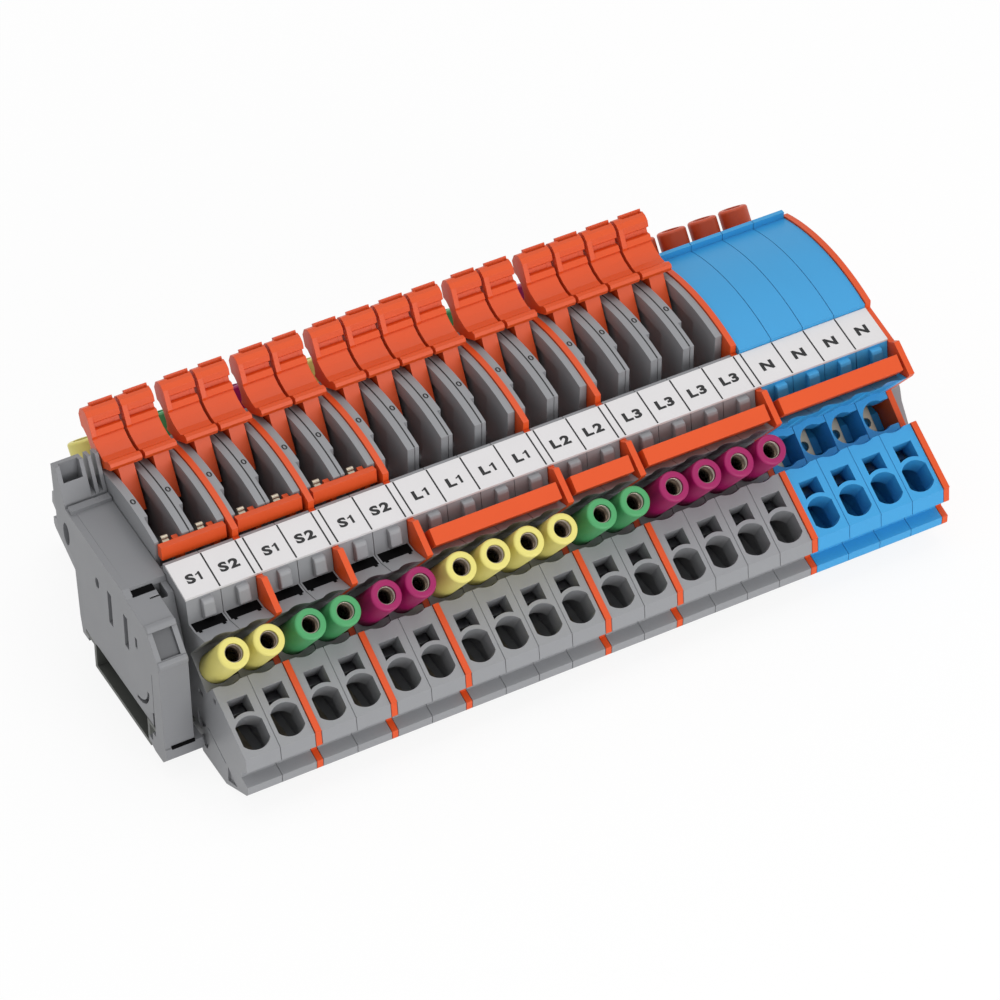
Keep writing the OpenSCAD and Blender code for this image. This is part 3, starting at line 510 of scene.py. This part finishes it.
def end_in_mix(tree, output, share, first, second):
    """Ends a node tree in a mix of two shaders."""
    pick = tree.nodes.new("ShaderNodeMixShader")
    tree.links.new(share, pick.inputs["Fac"])
    tree.links.new(first, pick.inputs[1])
    tree.links.new(second, pick.inputs[2])
    out = tree.nodes.new(output)
    tree.links.new(pick.outputs["Shader"], out.inputs["Surface"])


def background(tree, strength):
    node = tree.nodes.new("ShaderNodeBackground")
    node.inputs["Color"].default_value = WHITE_LIGHT
    node.inputs["Strength"].default_value = strength
    return node.outputs["Background"]


world = bpy.data.worlds.new("studio")
bpy.context.scene.world = world
world.use_nodes = True
sky = world.node_tree
sky.nodes.clear()
end_in_mix(sky, "ShaderNodeOutputWorld", seen_directly(sky),
           background(sky, SOFT_STRENGTH), background(sky, SEEN_STRENGTH))

# Lamps, in metres and watts
LAMP_TARGET = (0, 0, 0.03)


def area(name, pos, size, power):
    """A round soft lamp that points at the object."""
    lamp = bpy.data.lights.new(name, "AREA")
    lamp.shape = "DISK"
    lamp.size = size
    lamp.energy = power
    o = bpy.data.objects.new(name, lamp)
    bpy.context.scene.collection.objects.link(o)
    o.location = pos
    o.rotation_mode = "QUATERNION"
    o.rotation_quaternion = (Vector(LAMP_TARGET) - Vector(pos)).to_track_quat("-Z", "Y")


area("top", (0.05, 0.05, 0.80), 0.6, 1.5)
area("front", (0.10, -0.75, 0.20), 0.5, 2.5)

# Floor: pale, with a soft shadow
FLOOR_HALF, FLOOR_Z = 4, -0.0002
FLOOR_TONE, FLOOR_GLOW = (0.95, 0.95, 0.95, 1), 0.88
floor_look = bpy.data.materials.new("pale floor")
floor_look.use_nodes = True
tree = floor_look.node_tree
tree.nodes.clear()
matt = tree.nodes.new("ShaderNodeBsdfDiffuse")
matt.inputs["Color"].default_value = FLOOR_TONE
glow = tree.nodes.new("ShaderNodeEmission")
glow.inputs["Color"].default_value = WHITE_LIGHT
glow.inputs["Strength"].default_value = SEEN_STRENGTH
share = tree.nodes.new("ShaderNodeMath")
share.operation = "MULTIPLY"
share.inputs[1].default_value = FLOOR_GLOW
tree.links.new(seen_directly(tree), share.inputs[0])
end_in_mix(tree, "ShaderNodeOutputMaterial", share.outputs["Value"],
           matt.outputs["BSDF"], glow.outputs["Emission"])
floor_mesh = bpy.data.meshes.new("floor")
corners = [(-FLOOR_HALF, -FLOOR_HALF, 0), (FLOOR_HALF, -FLOOR_HALF, 0),
           (FLOOR_HALF, FLOOR_HALF, 0), (-FLOOR_HALF, FLOOR_HALF, 0)]
floor_mesh.from_pydata(corners, [], [(0, 1, 2, 3)])
floor_mesh.materials.append(floor_look)
floor = bpy.data.objects.new("floor", floor_mesh)
bpy.context.scene.collection.objects.link(floor)
floor.location.z = FLOOR_Z

# Camera of the photograph, with its place in millimetres
CAMERA_AT = (-354.3, -643.4, 684.9)
CAMERA_TOWARDS = (0.3580, 0.6459, -0.6743)
SENSOR, LENS = 36.0, 165.35
cam = bpy.data.cameras.new("camera")
cam.sensor_width = SENSOR
cam.lens = LENS
cam.clip_start, cam.clip_end = 0.05, 10
camera = bpy.data.objects.new("camera", cam)
bpy.context.scene.collection.objects.link(camera)
camera.location = Vector(CAMERA_AT) * MM
camera.rotation_mode = "QUATERNION"
camera.rotation_quaternion = Vector(CAMERA_TOWARDS).to_track_quat("-Z", "Y")
bpy.context.scene.camera = camera

bpy.context.scene.view_settings.view_transform = "Standard"
